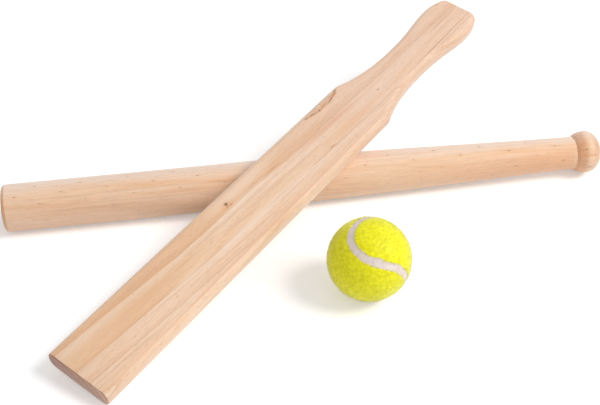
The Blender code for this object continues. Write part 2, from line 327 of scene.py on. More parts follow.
shoulder = Vector((BLADE_RUN, BLADE_WIDTH / 2))
waist = shoulder + Vector((WAIST_RUN, (WAIST_WIDTH - BLADE_WIDTH) / 2))
grip = waist + Vector((GRIP_RUN, (GRIP_WIDTH - WAIST_WIDTH) / 2))
tail = grip + Vector((TAIL_RUN, (TAIL_WIDTH - GRIP_WIDTH) / 2))
down_shoulder = Vector((1, -SHOULDER_SLOPE)) * SHOULDER_HOLD * WAIST_RUN
into_waist = Vector((WAIST_HOLD_BEFORE * WAIST_RUN, 0))
out_of_waist = Vector((WAIST_HOLD_AFTER * GRIP_RUN, 0))
into_grip = Vector((GRIP_HOLD * GRIP_RUN, 0))
out_of_grip = Vector((TAIL_HOLD * TAIL_RUN, 0))
down_tail = Vector((1, -TAIL_SLOPE)) * TAIL_HOLD * TAIL_RUN

handle = []
for bend in (
    (shoulder, shoulder + down_shoulder, waist - into_waist, waist),
    (waist, waist + out_of_waist, grip - into_grip, grip),
    (grip, grip + out_of_grip, tail - down_tail, tail),
):
    handle += interpolate_bezier(*bend, HANDLE_STEPS + 1)[1:]
handle = [point for point in handle if (point - shoulder).length > SHOULDER_ROUND]
blade_stop = shoulder - Vector((SHOULDER_ROUND, 0))
corner = interpolate_bezier(blade_stop, shoulder, shoulder, handle[0], SHOULDER_STEPS + 1)[1:-1]
blade = [
    Vector((blade_stop.x * step / BLADE_STEPS, blade_stop.y)) for step in range(BLADE_STEPS + 1)
]
side = blade + corner + handle
print(f"{len(side)} stations over {tail.x / MM:.1f} mm")

# %% Board pulled along its outline
deselect_all()
bpy.ops.mesh.primitive_plane_add(size=1, rotation=(0, QUARTER_TURN, 0))
board = bpy.context.object
board.name = "flat_bat_wood"
bpy.ops.object.transform_apply(rotation=True)
bpy.ops.object.mode_set(mode="EDIT")
bpy.ops.transform.resize(value=(1, BLADE_WIDTH, BOARD_THICKNESS))
bpy.ops.transform.translate(value=(0, 0, BOARD_THICKNESS / 2))
for here, there in zip(side, side[1:]):
    bpy.ops.mesh.extrude_region_move(TRANSFORM_OT_translate={"value": (there.x - here.x, 0, 0)})
    bpy.ops.transform.resize(value=(1, there.y / here.y, 1), center_override=(there.x, 0, 0))
bpy.ops.mesh.select_all(action="SELECT")
bpy.ops.mesh.normals_make_consistent(inside=False)
print("board pulled from", len(side), "stations")

# %% Long edges and cut ends
TINY = 1e-6
LONG_EDGE_ROUND = 0.0065
LONG_EDGE_STEPS = 9
END_ARRIS = 0.0006
END_ARRIS_STEPS = 2
SHARP_TURN = math.radians(55)
WOOD_SMOOTH_TURN = math.radians(40)


def is_cut_end(edge):
    """An edge all in the plane of one of the square cuts."""
    places = [vert.co.x for vert in edge.verts]
    return max(places) < TINY or min(places) > tail.x - TINY


def is_long_edge(edge):
    """A square edge that runs along the board's outline, above or below."""
    start, end = edge.verts
    level = abs(start.co.z - end.co.z) < TINY
    return level and not is_cut_end(edge) and edge.calc_face_angle(0) > SHARP_TURN


select_edges(board, is_long_edge)
bpy.ops.mesh.bevel(offset=LONG_EDGE_ROUND, segments=LONG_EDGE_STEPS, affect="EDGES")
select_edges(board, lambda edge: is_cut_end(edge) and edge.calc_face_angle(0) > SHARP_TURN)
bpy.ops.mesh.bevel(offset=END_ARRIS, segments=END_ARRIS_STEPS, affect="EDGES")
bpy.ops.object.mode_set(mode="OBJECT")
lay_in_place(board, flat_place)
bpy.ops.object.shade_smooth_by_angle(angle=WOOD_SMOOTH_TURN)
say(board, "flat_bat")

# %% [markdown]
# ## What both kinds of pine share
#
# A picture of wood would show the same face on every side, so the pine is worked out in space.
# The place in a bat's own frame, in millimetres, is stretched along the grain and feeds a noise.
# Where the noise runs high, the wood takes on a stain. Pine's real fibres are 0.05 mm thick, too
# fine to show here, so they are drawn as coarse as they need to be. Cut fibres drink light, so wood
# that faces a cut is darker; the same darkening by facing also paints shade on some sides. Sanded
# pine is satin, with a faint bloom at grazing angles.

# %% Grain, stain, cut faces and sanding
# A Mix node's numbers when it mixes two colours
SHARE = 0
FIRST = 6
SECOND = 7
IN_COLOUR = {"data_type": "RGBA", "out": 2}

FIBRE_SIZE = (14, 0.9, 0.9)
FIBRE_DETAIL = 3.0
CANAL_SIZE = (4.5, 0.9, 0.9)
FIBRE_RELIEF = 0.1 * MM


def in_bat_millimetres(tree, place):
    """Object coordinates turned into a bat's own frame, in millimetres."""
    spot = add_node(tree, "TexCoord", out="Object")
    return add_node(tree, "Mapping", {
        "Vector": spot,
        "Location": place.translation,
        "Rotation": place.to_euler(),
        "Scale": (MM, MM, MM),
    }, vector_type="TEXTURE")


def grain(tree, spot, size, detail):
    """Noise whose lumps have a given size in millimetres along, across and into the wood."""
    stretch = tuple(1 / length for length in size)
    stretched = add_node(tree, "VectorMath", {0: spot, 1: stretch}, operation="MULTIPLY")
    return add_node(tree, "TexNoise", {"Vector": stretched, "Scale": 1.0, "Detail": detail})


def stain(tree, wood, spot, size, detail, start, full, strength, colour):
    """Wood that takes on a colour where a noise of a given size runs high."""
    share = add_node(tree, "MapRange", {
        "Value": grain(tree, spot, size, detail),
        "From Min": start, "From Max": full, "To Max": strength,
    })
    return add_node(tree, "Mix", {SHARE: share, FIRST: wood, SECOND: linear(colour)}, **IN_COLOUR)


def shade_fibres(tree, wood, fibre, darkest, lightest):
    """Wood made a little darker and lighter by its fibres."""
    shade = add_node(tree, "MapRange", {
        "Value": fibre, "From Min": 0.25, "From Max": 0.75, "To Min": darkest, "To Max": lightest,
    })
    return add_node(tree, "VectorMath", {0: wood, "Scale": shade}, operation="SCALE")


def darken_facing(tree, wood, place, way, start, full, tone):
    """Wood multiplied by a tone where its surface turns a given way in the bat's frame."""
    facing = add_node(tree, "TexCoord", out="Normal")
    square_on = add_node(tree, "VectorMath", {
        0: facing, 1: place.to_3x3() @ Vector(way),
    }, out="Value", operation="DOT_PRODUCT")
    share = add_node(tree, "MapRange", {"Value": square_on, "From Min": start, "From Max": full})
    return add_node(tree, "Mix", {
        SHARE: share, FIRST: wood, SECOND: tone,
    }, blend_type="MULTIPLY", **IN_COLOUR)


def sand(tree, wood, fibre, smoothest, roughest, relief):
    """Finish a pine's tree: satin gloss and fine relief from the fibres, and a faint bloom."""
    rough = add_node(tree, "MapRange", {
        "Value": fibre, "From Min": 0.3, "From Max": 0.7, "To Min": smoothest, "To Max": roughest,
    })
    bump = add_node(tree, "Bump", {"Strength": relief, "Distance": FIBRE_RELIEF, "Height": fibre})
    shader = add_node(tree, "BsdfPrincipled", {
        "Base Color": wood, "Roughness": rough, "Normal": bump, "Specular IOR Level": 0.28,
        "Sheen Weight": 0.4, "Sheen Roughness": 0.55, "Sheen Tint": linear("#fff4ee"),
    })
    add_node(tree, "OutputMaterial", {"Surface": shader})


print("a fibre's lump is", FIBRE_SIZE[0], "mm long and", FIBRE_SIZE[1], "mm wide")

# %% [markdown]
# ## The flat bat's finish: planed pine
#
# Pine grows a pale soft layer each spring that darkens to tan by autumn and then stops sharply.
# On a board these layers are rings round the trunk's middle, cut by the saw. They come from the
# distance to the trunk's middle, divided by the ring's width, so they meet at every edge, and the
# cut ends show arcs. The trunk was a little bowed, so the lines drift across the blade.
# Finer things are laid over the rings: thin lines, fibres along the grain, short resin canals,
# pale and warm patches, a small knot, and a brown streak of bark at the shoulder. The square ends
# are darker as end grain is, and painted shade makes them darker and redder towards the left side.
# The near long side, which faces the lamp, gets a little painted shade too.

# %% Growth rings
PITH_ACROSS = 34.0
PITH_DEEP = -45.0
TRUNK_BOW = 16.5
TRUNK_BOW_AT = 420.0
RING_WIDTH = 7.4
RING_START = 62.3
RING_WAVER = 1.1
RING_WAVER_SIZE = (95, 16, 16)


def ring_reach(tree, mm):
    """Distance to the middle of the bowed trunk, with a slow waver."""
    axes = add_node(tree, "SeparateXYZ", {"Vector": mm}).node.outputs
    bow = add_node(tree, "Math", {
        0: axes["X"], 1: 1 / TRUNK_BOW_AT, 2: -1.0,
    }, operation="MULTIPLY_ADD")
    bow = add_node(tree, "Math", {0: bow, 1: bow}, operation="MULTIPLY")
    drift = add_node(tree, "Math", {
        0: bow, 1: -TRUNK_BOW, 2: TRUNK_BOW - PITH_ACROSS,
    }, operation="MULTIPLY_ADD")
    across = add_node(tree, "Math", {0: axes["Y"], 1: drift}, operation="ADD")
    deep = add_node(tree, "Math", {0: axes["Z"], 1: PITH_DEEP}, operation="SUBTRACT")
    spoke = add_node(tree, "CombineXYZ", {"Y": across, "Z": deep})
    reach = add_node(tree, "VectorMath", {0: spoke}, out="Value", operation="LENGTH")
    waver = grain(tree, mm, RING_WAVER_SIZE, 2.0)
    return add_node(tree, "Math", {0: waver, 1: RING_WAVER, 2: reach}, operation="MULTIPLY_ADD")


print(f"the blade is {BLADE_WIDTH / MM / RING_WIDTH:.1f} rings wide")

# %% Marks on the blade
SEEN_FACE = BOARD_THICKNESS / MM
MARK_DEPTH = 7.0

# Middle along and across, half length, half width, turn in degrees, strength, colour
BOARD_MARKS = (
    (40.0, 10.0, 95.0, 12.0, 0, 0.5, "#e2b184"),
    (85.0, 4.0, 80.0, 9.0, 0, 0.4, "#e0ab78"),
    (112.0, -6.0, 36.0, 3.0, 0, 0.6, "#f4d8bd"),
    (195.0, 9.0, 45.0, 5.0, 0, 0.45, "#f8e2cc"),
    (245.0, -13.0, 35.0, 3.0, 0, 0.5, "#f7dec8"),
    (300.0, 3.5, 75.0, 3.0, -1, 0.45, "#dfa27a"),
    (322.0, -9.0, 50.0, 5.5, 0, 0.4, "#e4aa7e"),
    (180.0, -11.0, 85.0, 5.0, 0, 0.6, "#f8e0cb"),
    (205.0, 20.0, 55.0, 7.0, 0, 0.6, "#f6dcc4"),
    (182.5, 15.6, 8.0, 4.5, 10, 0.4, "#dfa06c"),
    (182.8, 16.6, 2.4, 2.0, 0, 0.95, "#74431f"),
    (181.6, 14.0, 2.0, 0.9, 50, 0.6, "#96633c"),
    (185.4, 13.2, 2.2, 1.2, 0, 0.5, "#b9794a"),
    (235.0, 11.0, 12.0, 1.1, -2, 0.6, "#cf9460"),
    (212.0, 13.0, 14.0, 0.8, -3, 0.4, "#cf9a6c"),
    (286.0, -12.5, 5.5, 0.9, -3, 0.7, "#a2714c"),
    (305.0, 5.0, 40.0, 2.4, -2, 0.45, "#d99f80"),
    (475.0, 1.5, 34.0, 0.8, 1, 0.6, "#bd9071"),
    (160.0, -25.1, 300.0, 1.5, 0.2, 0.8, "#d8ab88"),
    (445.0, -12.5, 64.0, 0.8, 1, 0.65, "#b98a6b"),
    (365.0, -4.0, 1.9, 1.0, 0, 0.7, "#9c7252"),
    (314.0, 23.0, 26.0, 4.2, 0, 0.5, "#d8a47e"),
    (319.0, 21.0, 10.0, 2.0, 6, 0.85, "#cb946b"),
    (319.0, 27.6, 30.0, 1.8, 0, 0.6, "#b08d74"),
    (329.3, 21.0, 8.2, 1.2, 14, 0.9, "#a3602f"),
    (332.0, 23.5, 4.6, 0.9, 0, 0.7, "#ab7248"),
    (336.5, 22.7, 4.6, 1.9, 12, 0.9, "#c9743c"),
    (340.2, 24.7, 4.0, 1.3, 15, 0.8, "#85593b"),
    (315.5, 24.2, 2.2, 1.4, 0, 0.6, "#f4e0cc"),
    (304.0, 22.2, 8.0, 0.9, -13, 0.75, "#a9724a"),
    (303.8, 22.3, 2.6, 0.9, -13, 0.7, "#875331"),
    (297.6, 23.6, 2.8, 1.0, -13, 0.8, "#80502f"),
    (306.5, 21.4, 9.0, 1.5, -12, 0.6, "#c48d62"),
    (312.4, 20.6, 1.5, 1.2, 0, 0.95, "#6e4222"),
)


def lay_marks(tree, wood, mm):
    """Wood with each mark laid on it as a soft oval that reaches a little into the board."""
    for along, across, half_length, half_width, turn, strength, colour in BOARD_MARKS:
        oval = add_node(tree, "Mapping", {
            "Vector": mm,
            "Location": (along, across, SEEN_FACE),
            "Rotation": (0, 0, math.radians(turn)),
            "Scale": (half_length, half_width, MARK_DEPTH),
        }, vector_type="TEXTURE")
        far = add_node(tree, "VectorMath", {0: oval}, out="Value", operation="LENGTH")
        share = add_node(tree, "MapRange", {
            "Value": far, "From Min": 1.0, "From Max": 0.2, "To Max": strength,
        })
        wood = add_node(tree, "Mix", {
            SHARE: share, FIRST: wood, SECOND: linear(colour),
        }, **IN_COLOUR)
    return wood


print(len(BOARD_MARKS), "marks on the blade")

# %% Cut faces of the board, with painted shade
PAINTED_SHADE_SIDE = (0, -1, 0)
SIDE_SHADE_FACING = (0.25, 0.7)
END_FACING = (0.75, 0.97)
PORE_SIZE = (2.0, 0.9, 0.9)
PORE_TONES = ((0.32, "#c0b2b1"), (0.5, "#e3d9da"), (0.68, "#ffffff"))
END_RING_TONES = ((0.0, "#ffffff"), (0.6, "#f6f0ec"), (0.95, "#d9c3b8"))
END_SHADE_FROM = -24.0
END_SHADE_TO = 24.0


def cut_and_shade_board(tree, wood, place, mm, season, to_handle):
    """Wood with painted shade on its near side, and with open pores, sharp rings and painted shade
    on its ends.
    """
    pores = grain(tree, mm, PORE_SIZE, 2.0)
    end_pores = add_node(tree, "ValToRGB", {"Fac": pores}, stops=PORE_TONES)
    end_rings = add_node(tree, "ValToRGB", {"Fac": season}, stops=END_RING_TONES)
    axes = add_node(tree, "SeparateXYZ", {"Vector": mm}).node.outputs
    end_shade_share = add_node(tree, "MapRange", {
        "Value": axes["Y"], "From Min": END_SHADE_FROM, "From Max": END_SHADE_TO,
    })
    # Painted shade: the ends turn darker and redder towards the left side, away from the lamp
    painted_end_shade = add_node(tree, "Mix", {
        SHARE: end_shade_share, FIRST: linear("#ffffff"), SECOND: linear("#cc9f91"),
    }, **IN_COLOUR)
    # Painted shade on the near side, which faces the lamp, a little darker towards the handle
    painted_side_shade = add_node(tree, "Mix", {
        SHARE: to_handle, FIRST: linear("#fafcfb"), SECOND: linear("#f3f2f0"),
    }, **IN_COLOUR)
    wood = darken_facing(tree, wood, place, PAINTED_SHADE_SIDE, *SIDE_SHADE_FACING, painted_side_shade)
    for end in (-1, 1):
        for tone in (end_pores, end_rings, painted_end_shade):
            wood = darken_facing(tree, wood, place, (end, 0, 0), *END_FACING, tone)
    return wood


print(f"the ends darken within {math.degrees(math.acos(END_FACING[0])):.0f} degrees of square on")

# %% Planed pine
RING_COLOURS = (
    (0.0, "#f1d0b1"), (0.05, "#f5d9c0"), (0.35, "#f2d0b1"),
    (0.65, "#f0caa8"), (0.93, "#eabd96"), (1.0, "#e7b991"),
)

# Lump size, detail, noise at which it starts and is full, strength, colour
RING_LINES = ((130, 1.3, 16), 3.0, 0.5, 0.72, 0.6, "#d8a883")
WARM_CLOUDS = ((70, 6, 14), 3.0, 0.45, 0.75, 0.5, "#e6b892")
BOARD_CANALS = (CANAL_SIZE, 0.0, 0.62, 0.8, 0.3, "#c0926c")


def planed_pine(place):
    """Planed pine with rings, fibres, resin canals, a knot, a bark streak, end grain and painted
    shade.
    """
    material, tree = start_material("planed_pine")
    mm = in_bat_millimetres(tree, place)
    axes = add_node(tree, "SeparateXYZ", {"Vector": mm}).node.outputs
    reach = ring_reach(tree, mm)
    turns = add_node(tree, "Math", {
        0: reach, 1: 1 / RING_WIDTH, 2: -(RING_START + RING_WAVER / 2) / RING_WIDTH,
    }, operation="MULTIPLY_ADD")
    season = add_node(tree, "Math", {0: turns}, operation="FRACT")
    wood = add_node(tree, "ValToRGB", {"Fac": season}, stops=RING_COLOURS)

    # The rings fade on the near edge that they only graze, in the outer wood and towards the
    # handle, and each ends in a darker late layer
    near_edge = add_node(tree, "MapRange", {
        "Value": axes["Y"], "From Min": -20.0, "From Max": -26.0, "To Max": 0.85,
    })
    outer_wood = add_node(tree, "MapRange", {
        "Value": turns, "From Min": 0.97, "From Max": 1.03, "To Max": 0.6,
    })
    faded = add_node(tree, "Math", {0: near_edge, 1: outer_wood}, operation="MAXIMUM")
    to_handle = add_node(tree, "MapRange", {
        "Value": axes["X"], "From Min": 150.0, "From Max": 370.0, "To Max": 0.85,
    }, interpolation_type="SMOOTHSTEP")
    late = add_node(tree, "MapRange", {
        "Value": season, "From Min": 0.86, "From Max": 0.99, "To Max": 0.35,
    })
    for share, colour in ((faded, "#f1ceb3"), (to_handle, "#eac9b1"), (late, "#cf9d76")):
        wood = add_node(tree, "Mix", {
            SHARE: share, FIRST: wood, SECOND: linear(colour),
        }, **IN_COLOUR)

    # Thin lines and warm clouds follow the rings, and canals and fibres follow the board
    round_ring = add_node(tree, "Math", {0: axes["Y"], 1: axes["Z"]}, operation="ADD")
    ring_spot = add_node(tree, "CombineXYZ", {"X": axes["X"], "Y": reach, "Z": round_ring})
    wood = stain(tree, wood, ring_spot, *RING_LINES)
    wood = stain(tree, wood, ring_spot, *WARM_CLOUDS)
    wood = stain(tree, wood, mm, *BOARD_CANALS)
    fibre = grain(tree, mm, FIBRE_SIZE, FIBRE_DETAIL)
    wood = shade_fibres(tree, wood, fibre, 0.92, 1.07)
    wood = lay_marks(tree, wood, mm)
    wood = cut_and_shade_board(tree, wood, place, mm, season, to_handle)
    sand(tree, wood, fibre, 0.36, 0.5, 0.25)
    return material


board.data.materials.append(planed_pine(flat_place))
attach(board, "flat_bat")
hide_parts("flat_bat")
print("flat bat dressed with", len(board.active_material.node_tree.nodes), "nodes")

# %% [markdown]
# ## The round bat's shape: turned on a lathe
#
# The real bat is one length of pine turned on a lathe: a rounded barrel end, a straight barrel,
# a long taper and a knob. A lathe cuts one outline all round, and Blender's Spin does the same.
# A single point is extruded along the outline, from the axis at the barrel's end to the axis at
# the knob's end, and the line is spun once round. Its two ends and its seam are then merged.

# %% Outline for the lathe
BARREL_RUN = 0.2664
TAPER_RUN = 0.2222
KNOB_RISE_RUN = 0.0113
KNOB_END_RUN = 0.0121
NECK_RADIUS = 0.0142
KNOB_RADIUS = 0.0183
KNOB_END_FLAT_RADIUS = 0.0045
BARREL_END_ROUND = 0.0035
KNOB_RISE_ANGLE = math.radians(60)
TAPER_EASE = 0.4
ARC_STEPS = 14
BARREL_STEPS = 10
TAPER_STEPS = 36


def arc(middle, along_radius, out_radius, start, end):
    """Points (along, out) of an elliptic arc; angle 0 points out, a quarter turn along."""
    points = []
    for angle in np.linspace(start, end, ARC_STEPS + 1):
        along = middle[0] + along_radius * math.sin(angle)
        points.append((along, middle[1] + out_radius * math.cos(angle)))
    return points


neck_x = BARREL_RUN + TAPER_RUN
crest_x = neck_x + KNOB_RISE_RUN
rise_out = (KNOB_RADIUS - NECK_RADIUS) / (1 - math.cos(KNOB_RISE_ANGLE))
rise_along = KNOB_RISE_RUN / math.sin(KNOB_RISE_ANGLE)
end_out = KNOB_RADIUS - KNOB_END_FLAT_RADIUS

outline = [(0.0, 0.0)]
end_middle = (BARREL_END_ROUND, BARREL_RADIUS - BARREL_END_ROUND)
outline += arc(end_middle, BARREL_END_ROUND, BARREL_END_ROUND, -QUARTER_TURN, 0)
for step in range(1, BARREL_STEPS + 1):
    straight = (BARREL_RUN - BARREL_END_ROUND) * step / BARREL_STEPS
    outline.append((BARREL_END_ROUND + straight, BARREL_RADIUS))
for step in range(1, TAPER_STEPS + 1):
    share = 1 - step / TAPER_STEPS
    eased = share * share * (3 - 2 * share)
    swell = share + (eased - share) * TAPER_EASE
    radius = NECK_RADIUS + (BARREL_RADIUS - NECK_RADIUS) * swell
    outline.append((neck_x - TAPER_RUN * share, radius))
outline += arc((crest_x, KNOB_RADIUS - rise_out), rise_along, rise_out, -KNOB_RISE_ANGLE, 0)[1:]
outline += arc((crest_x, KNOB_END_FLAT_RADIUS), KNOB_END_RUN, end_out, 0, QUARTER_TURN)[1:]
outline.append((crest_x + KNOB_END_RUN, 0.0))
print(f"lathe outline of {len(outline)} points, {outline[-1][0] / MM:.1f} mm long")

# %% Spin the outline
LATHE_STEPS = 144

deselect_all()
bpy.ops.mesh.primitive_plane_add(size=1)
turned = bpy.context.object
turned.name = "round_bat_wood"
bpy.ops.object.mode_set(mode="EDIT")
bpy.ops.mesh.select_mode(type="VERT")
bpy.ops.mesh.merge(type="CENTER")
for here, there in zip(outline, outline[1:]):
    bpy.ops.mesh.extrude_region_move(
        TRANSFORM_OT_translate={"value": (there[0] - here[0], 0, there[1] - here[1])}
    )
bpy.ops.mesh.select_all(action="SELECT")
bpy.ops.mesh.spin(steps=LATHE_STEPS, angle=math.tau, center=(0, 0, 0), axis=(1, 0, 0))
bpy.ops.mesh.select_all(action="SELECT")
bpy.ops.mesh.remove_doubles(threshold=TINY)
bpy.ops.mesh.normals_make_consistent(inside=False)
bpy.ops.object.mode_set(mode="OBJECT")
lay_in_place(turned, round_place)
bpy.ops.object.shade_smooth_by_angle(angle=WOOD_SMOOTH_TURN)
say(turned, "round_bat")

# %% [markdown]
# ## The round bat's finish: turned pine with its pith inside
#
# This bat was turned from a young stem with the pith inside. Needles once grew from the stem in
# spirals, and each left a thin trace that runs out from the pith. On the turned surface the
# traces show as small brown flecks on a slanted lattice. Scattered dots would miss that order,
# so the lattice is worked out: two steps lead from one fleck to its neighbours, and the steps
# grow towards the handle, where the stem grew faster. One side of the stem is heartwood, and the
# top at the back is paler: a painted reflection of the white surroundings at grazing angles. The
# rings show only on the two ends. The knob is a little darker, partly because the lathe cut its
# fibres across and partly by painted shade on its rise, which turns from the lamp, and on its end,
# which faces it.

# %% Needle traces
FLECK_STEP_ALONG = (16.0, 36.0)
FLECK_STEP_ROUND = (-23.8, -2.7)
FLECK_START = (11.9, 26.0)
FLECK_GROWTH = 0.22 / 480
FLECK_LENGTH = 3.0
FLECK_WIDTH = 1.7
FLECK_TAIL = 9.0
FLECK_TAIL_STRENGTH = 0.3
FLECK_SHIFT_ALONG = 2.4
FLECK_SHIFT_ROUND = 1.0
FLECK_FAINTEST = 0.3
FLECK_DARKEST = 0.75


def nearest_fleck(tree, round_degrees, grown):
    """How many of each lattice step lead to the nearest fleck, and what is left of each."""
    (a_along, b_along), (a_round, b_round) = FLECK_STEP_ALONG, FLECK_STEP_ROUND
    start_along, start_round = FLECK_START
    span = a_along * b_round - b_along * a_round
    even = add_node(tree, "Math", {
        0: grown, 1: 1 / FLECK_GROWTH, 2: -1 / FLECK_GROWTH,
    }, operation="MULTIPLY_ADD")
    even_round = add_node(tree, "Math", {0: round_degrees, 1: grown}, operation="DIVIDE")
    even_place = add_node(tree, "CombineXYZ", {"X": even, "Y": even_round, "Z": 1.0})
    near = []
    left = []
    for weights in (
        (b_round, -b_along, b_along * start_round - b_round * start_along),
        (-a_round, a_along, a_round * start_along - a_along * start_round),
    ):
        steps = add_node(tree, "VectorMath", {
            0: even_place, 1: tuple(weight / span for weight in weights),
        }, out="Value", operation="DOT_PRODUCT")
        near.append(add_node(tree, "Math", {0: steps}, operation="ROUND"))
        left.append(add_node(tree, "Math", {0: steps, 1: near[-1]}, operation="SUBTRACT"))
    return [add_node(tree, "CombineXYZ", {"X": a, "Y": b}) for a, b in (near, left)]


def needle_traces(tree, along, round_degrees, radius):
    """Mask of the flecks on a slanted lattice that grows along the bat."""
    grown = add_node(tree, "Math", {
        0: along, 1: 2 * FLECK_GROWTH, 2: 1.0,
    }, operation="MULTIPLY_ADD")
    grown = add_node(tree, "Math", {0: grown}, operation="SQRT")
    near, left = nearest_fleck(tree, round_degrees, grown)
    chance = add_node(tree, "TexWhiteNoise", {"Vector": near}, out="Color")
    chances = add_node(tree, "SeparateColor", {"Color": chance}).node.outputs

    # Distance from the fleck, in millimetres along and round, with its own small shift
    gap_along, gap_round = [
        add_node(tree, "VectorMath", {0: left, 1: (*steps, 0)}, out="Value", operation="DOT_PRODUCT")
        for steps in (FLECK_STEP_ALONG, FLECK_STEP_ROUND)
    ]
    for factor in (radius, grown, math.radians(1)):
        gap_round = add_node(tree, "Math", {0: gap_round, 1: factor}, operation="MULTIPLY")
    gaps = []
    for gap, chance, shift in (
        (gap_along, chances["Red"], FLECK_SHIFT_ALONG),
        (gap_round, chances["Green"], FLECK_SHIFT_ROUND),
    ):
        gap = add_node(tree, "Math", {0: chance, 1: shift, 2: gap}, operation="MULTIPLY_ADD")
        gaps.append(add_node(tree, "Math", {0: gap, 1: shift / 2}, operation="SUBTRACT"))
    gap = add_node(tree, "CombineXYZ", {"X": gaps[0], "Y": gaps[1]})

    masks = []
    for length, strength in ((FLECK_LENGTH, 1.0), (FLECK_TAIL, FLECK_TAIL_STRENGTH)):
        halves = (2 / length, 2 / FLECK_WIDTH, 0)
        oval = add_node(tree, "VectorMath", {0: gap, 1: halves}, operation="MULTIPLY")
        far = add_node(tree, "VectorMath", {0: oval}, out="Value", operation="LENGTH")
        masks.append(add_node(tree, "MapRange", {
            "Value": far, "From Min": 0.2, "To Min": strength, "To Max": 0.0,
        }))
    fleck = add_node(tree, "Math", {0: masks[0], 1: masks[1]}, operation="MAXIMUM")
    depth = add_node(tree, "MapRange", {
        "Value": chances["Blue"], "To Min": FLECK_FAINTEST, "To Max": FLECK_DARKEST,
    })
    return add_node(tree, "Math", {0: fleck, 1: depth}, operation="MULTIPLY")


print("a fleck's neighbours lie", FLECK_STEP_ALONG, "mm along the bat")

# %% Turned ends and knob
KNOB_RISE_SHADE_FACING = (0.05, 0.25)
KNOB_END_SHADE_FACING = (0.1, 0.5)
STEM_END_FACING = (0.8, 0.98)
STEM_PITH = (0.0, 3.5, -2.0)
STEM_RING_WIDTH = 5.2
STEM_WAVER_SIZE = (40, 6, 6)
STEM_RING_TONES = ((0.0, "#f0e1d8"), (0.6, "#e8d6cc"), (0.95, "#c8ab9c"))


def cut_and_shade_stem(tree, wood, place, mm, spoke):
    """Wood darker where the lathe cuts the fibres and by painted shade on the knob, with rings round
    the pith on the ends.
    """
    from_pith = add_node(tree, "VectorMath", {0: spoke, 1: STEM_PITH}, operation="SUBTRACT")
    reach = add_node(tree, "VectorMath", {0: from_pith}, out="Value", operation="LENGTH")
    waver = grain(tree, mm, STEM_WAVER_SIZE, 2.0)
    years = add_node(tree, "Math", {
        0: reach, 1: 1 / STEM_RING_WIDTH, 2: waver,
    }, operation="MULTIPLY_ADD")
    season = add_node(tree, "Math", {0: years}, operation="FRACT")
    rings = add_node(tree, "ValToRGB", {"Fac": season}, stops=STEM_RING_TONES)
    # Painted shade on the knob, over its real end grain: the rise turns from the lamp, the end faces
    # it
    wood = darken_facing(tree, wood, place, (-1, 0, 0), *KNOB_RISE_SHADE_FACING, linear("#f1ddd0"))
    wood = darken_facing(tree, wood, place, (1, 0, 0), *KNOB_END_SHADE_FACING, linear("#e7e1dc"))
    for end in (-1, 1):
        wood = darken_facing(tree, wood, place, (end, 0, 0), *STEM_END_FACING, rings)
    return wood


print(f"{BARREL_RADIUS / MM / STEM_RING_WIDTH:.1f} rings from the barrel's axis to its surface")

# %% Turned pine
PAINTED_REFLECTION_TURN = math.radians(40)
HEARTWOOD_TURN = math.radians(-85)
BAND_SIZE = (130, 7, 7)
BAND_COLOURS = ((0.3, "#f1d0b4"), (0.5, "#eec6a3"), (0.62, "#eabb93"), (0.75, "#e3af84"))

# Lump size, detail, noise at which it starts and is full, strength, colour
STEM_LINES = ((150, 1.5, 1.5), 2.0, 0.52, 0.75, 0.4, "#d4a684")
STEM_CANALS = (CANAL_SIZE, 0.0, 0.64, 0.8, 0.18, "#b88a67")


